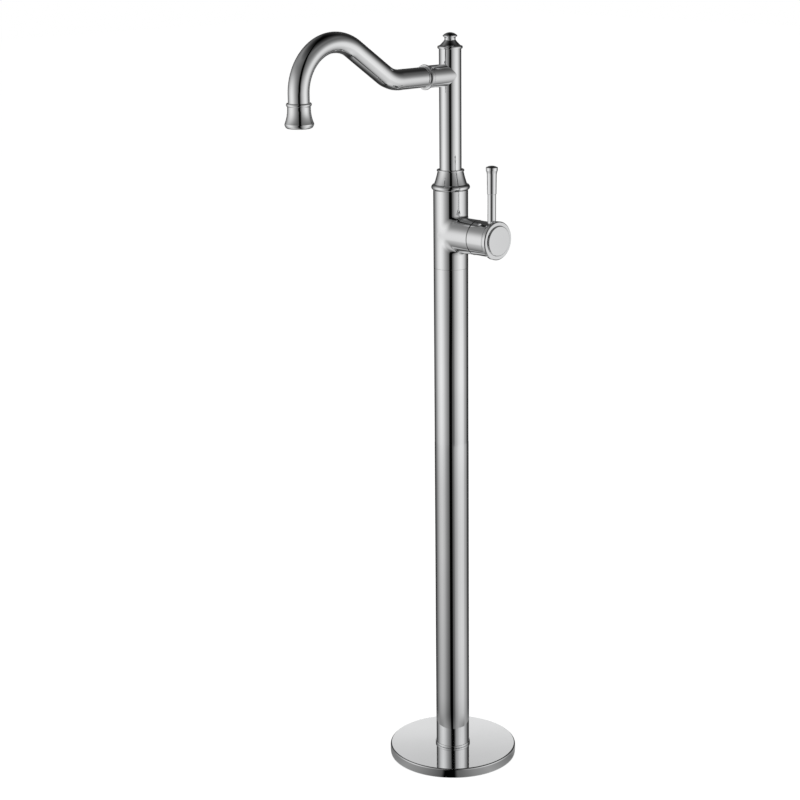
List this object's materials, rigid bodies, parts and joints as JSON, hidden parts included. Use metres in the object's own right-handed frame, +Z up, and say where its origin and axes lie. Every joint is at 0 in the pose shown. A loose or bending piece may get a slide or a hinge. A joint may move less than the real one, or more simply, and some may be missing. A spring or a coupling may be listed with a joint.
{
  "type": "floor standing bath filler",
  "caption": "Floor standing bath filler: tall column on a round floor plate, side valve with a tilting lever, and a swan neck spout that swivels.",
  "frame": {"origin": "centre of the column's axis on the underside of the floor plate, at floor level", "axes": "+Z up along the column, -Y along the spout at rest, +X along the valve branch towards the lever"},
  "size_m": [0.1702, 0.3501, 0.9785],
  "materials": {
    "polished_chrome": "mirror polished chrome plate on brass",
    "satin_brass": "turned, unplated",
    "stainless_steel": "brushed",
    "black_rubber": "matt",
    "hose_rubber": "rubber hose in a woven steel sleeve",
    "cartridge_plastic": "moulded",
    "turret_plastic": "moulded",
    "bearing_plastic": "low friction, moulded",
    "aerator_plastic": "moulded",
    "disc_ceramic": "lapped ceramic"
  },
  "bodies": {
    "stand": {"floor_plate": "stainless_steel", "column_spigot": "stainless_steel", "base_cover": "polished_chrome", "foot_ring": "polished_chrome", "column_tube": "polished_chrome", "column_grub_screws": "stainless_steel", "inlet_manifold": "satin_brass", "manifold_clip": "stainless_steel", "hot_hose": "hose_rubber", "hot_hose_fittings": "satin_brass", "cold_hose": "hose_rubber", "cold_hose_fittings": "satin_brass", "valve_body": "polished_chrome", "swivel_collar": "polished_chrome", "swivel_bush": "bearing_plastic", "thrust_washer": "bearing_plastic", "cartridge_seals": "black_rubber", "cartridge_base": "cartridge_plastic", "fixed_disc": "disc_ceramic", "cartridge_housing": "cartridge_plastic", "cartridge_nut": "satin_brass", "dome_cap": "polished_chrome"},
    "turret": {"cartridge_turret": "turret_plastic", "pivot_pin": "stainless_steel"},
    "mixing_disc": {"disc_carrier": "turret_plastic", "moving_disc": "disc_ceramic"},
    "handle": {"spindle": "satin_brass", "handle_hub": "polished_chrome", "handle_screw": "stainless_steel", "handle_disc": "polished_chrome", "index_cap": "polished_chrome", "lever_stem": "polished_chrome", "lever_grip": "polished_chrome"},
    "spout": {"riser_foot": "satin_brass", "foot_orings": "black_rubber", "riser_tube": "polished_chrome", "finial": "polished_chrome", "finial_oring": "black_rubber", "spout_socket": "polished_chrome", "spout_flange": "polished_chrome", "spout_tube": "polished_chrome", "outlet_bell": "polished_chrome", "aerator_housing": "polished_chrome", "aerator_core": "aerator_plastic", "aerator_screen": "stainless_steel", "aerator_washer": "black_rubber"}
  },
  "joints": [
    {"name": "spout_swivel", "type": "hinge", "parent": "stand", "child": "spout", "pos_m": [0, 0, 0.766], "axis": [0, 0, 1], "continuous": true},
    {"name": "handle_turn", "type": "hinge", "parent": "stand", "child": "turret", "pos_m": [0.034, 0, 0.716], "axis": [1, 0, 0], "range_deg": [-45, 45]},
    {"name": "handle_tilt", "type": "hinge", "parent": "turret", "child": "handle", "pos_m": [0.034, 0, 0.716], "axis": [0, 1, 0], "range_deg": [0, 20]},
    {"name": "disc_slide", "type": "slide", "parent": "turret", "child": "mixing_disc", "axis": [0, 0, 1], "range_m": [0, 0.00273]}
  ],
  "couplings": [
    {"joint": "disc_slide", "follows": "handle_tilt", "m_per_rad": 0.0078}
  ]
}
